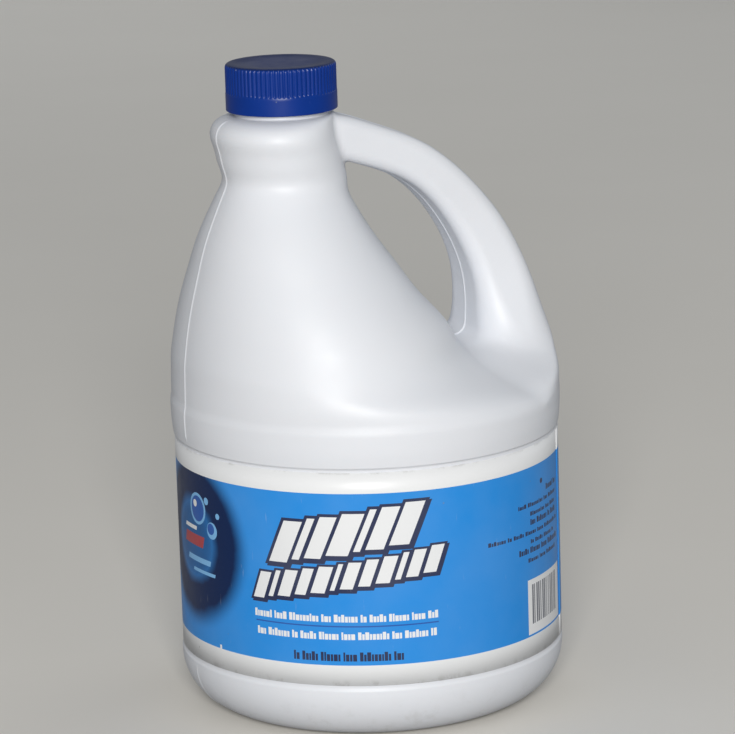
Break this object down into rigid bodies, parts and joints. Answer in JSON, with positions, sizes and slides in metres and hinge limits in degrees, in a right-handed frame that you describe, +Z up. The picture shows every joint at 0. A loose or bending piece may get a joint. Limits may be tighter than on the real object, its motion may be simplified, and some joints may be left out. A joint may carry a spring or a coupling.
{
  "type": "bleach bottle",
  "caption": "Round blow-moulded jug for liquid bleach with a side strap handle, an offset threaded neck, a ribbed screw cap and a wrap-around paper label.",
  "frame": {"origin": "middle of the base, on the surface that the bottle stands on", "axes": "+Z up, +X from the middle to the handle, +Y to the back; the XZ plane is the mould's parting plane"},
  "size_m": [0.1548, 0.1548, 0.2579],
  "materials": {
    "bottle_plastic": "white blow-moulded polyethylene with a soft satin sheen",
    "label_paper": "coated white paper, printed with a blue field",
    "liner_foam": "white closed-cell foam",
    "cap_plastic": "royal blue moulded polypropylene, satin gloss"
  },
  "bodies": {
    "bottle": {"bottle": "bottle_plastic", "label": "label_paper"},
    "liner": {"liner": "liner_foam"},
    "cap": {"cap": "cap_plastic"}
  },
  "joints": [
    {"name": "cap_lift", "type": "slide", "parent": "bottle", "child": "liner", "axis": [0, 0, 1], "range_m": [0, 0.0053]},
    {"name": "cap_turn", "type": "hinge", "parent": "liner", "child": "cap", "pos_m": [-0.0315, 0, 0.2486], "axis": [0, 0, 1], "range_deg": [0, 450]}
  ],
  "couplings": [
    {"joint": "cap_lift", "follows": "cap_turn", "m_per_rad": 0.0006737}
  ]
}
